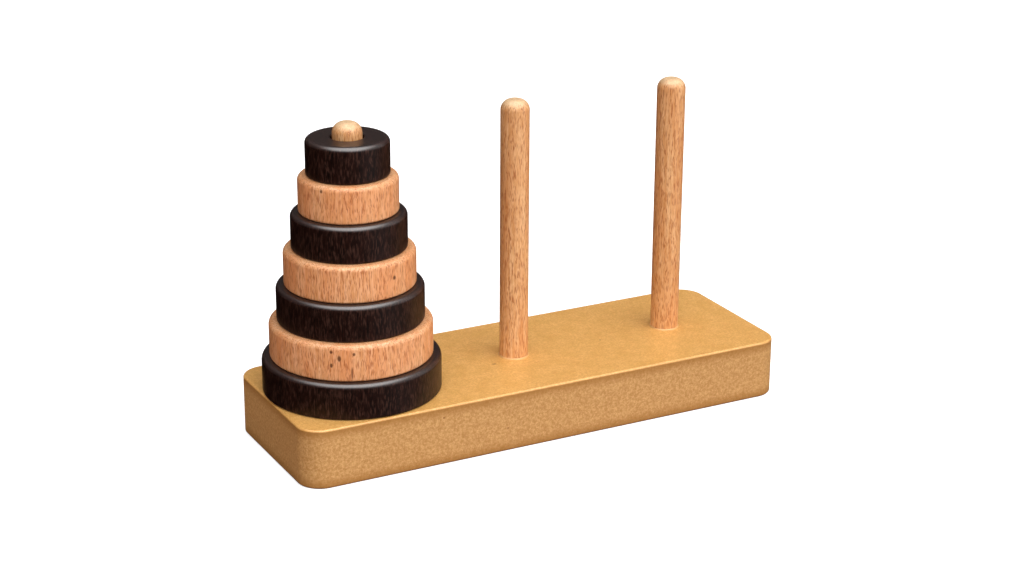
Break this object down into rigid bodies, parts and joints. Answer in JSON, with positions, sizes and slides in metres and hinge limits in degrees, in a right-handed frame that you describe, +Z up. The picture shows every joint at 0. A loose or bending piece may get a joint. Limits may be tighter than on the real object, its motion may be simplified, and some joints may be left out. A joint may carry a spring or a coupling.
{
  "type": "tower of hanoi puzzle",
  "caption": "Wooden tower of hanoi puzzle: a long block with upright pegs and a tapering stack of dark and light bored discs on the left-hand peg, each free to lift off.",
  "frame": {"origin": "centre of the base's footprint, on its underside", "axes": "+Z up along the pegs, +X along the row of pegs away from the stack, +Y across the base towards its back"},
  "size_m": [0.2203, 0.074, 0.136],
  "materials": {
    "fibreboard": "medium-density fibreboard, golden tan, clear satin lacquer on top, finely speckled raw-looking sides",
    "beech": "beech with short dark flecks along the grain, clear satin lacquer",
    "dark_stained_wood": "beech stained very dark brown under a smooth satin lacquer"
  },
  "bodies": {
    "stand": {"base": "fibreboard", "peg_left": "beech", "peg_centre": "beech", "peg_right": "beech"},
    "disc_7": {"disc_7": "dark_stained_wood"},
    "disc_6": {"disc_6": "beech"},
    "disc_5": {"disc_5": "dark_stained_wood"},
    "disc_4": {"disc_4": "beech"},
    "disc_3": {"disc_3": "dark_stained_wood"},
    "disc_2": {"disc_2": "beech"},
    "disc_1": {"disc_1": "dark_stained_wood"}
  },
  "joints": [
    {"name": "disc_7_lift", "type": "slide", "parent": "stand", "child": "disc_7", "axis": [0, 0, 1], "range_m": [0, 0.115]},
    {"name": "disc_6_lift", "type": "slide", "parent": "disc_7", "child": "disc_6", "axis": [0, 0, 1], "range_m": [0, 0.1]},
    {"name": "disc_5_lift", "type": "slide", "parent": "disc_6", "child": "disc_5", "axis": [0, 0, 1], "range_m": [0, 0.085]},
    {"name": "disc_4_lift", "type": "slide", "parent": "disc_5", "child": "disc_4", "axis": [0, 0, 1], "range_m": [0, 0.07]},
    {"name": "disc_3_lift", "type": "slide", "parent": "disc_4", "child": "disc_3", "axis": [0, 0, 1], "range_m": [0, 0.055]},
    {"name": "disc_2_lift", "type": "slide", "parent": "disc_3", "child": "disc_2", "axis": [0, 0, 1], "range_m": [0, 0.04]},
    {"name": "disc_1_lift", "type": "slide", "parent": "disc_2", "child": "disc_1", "axis": [0, 0, 1], "range_m": [0, 0.025]}
  ]
}
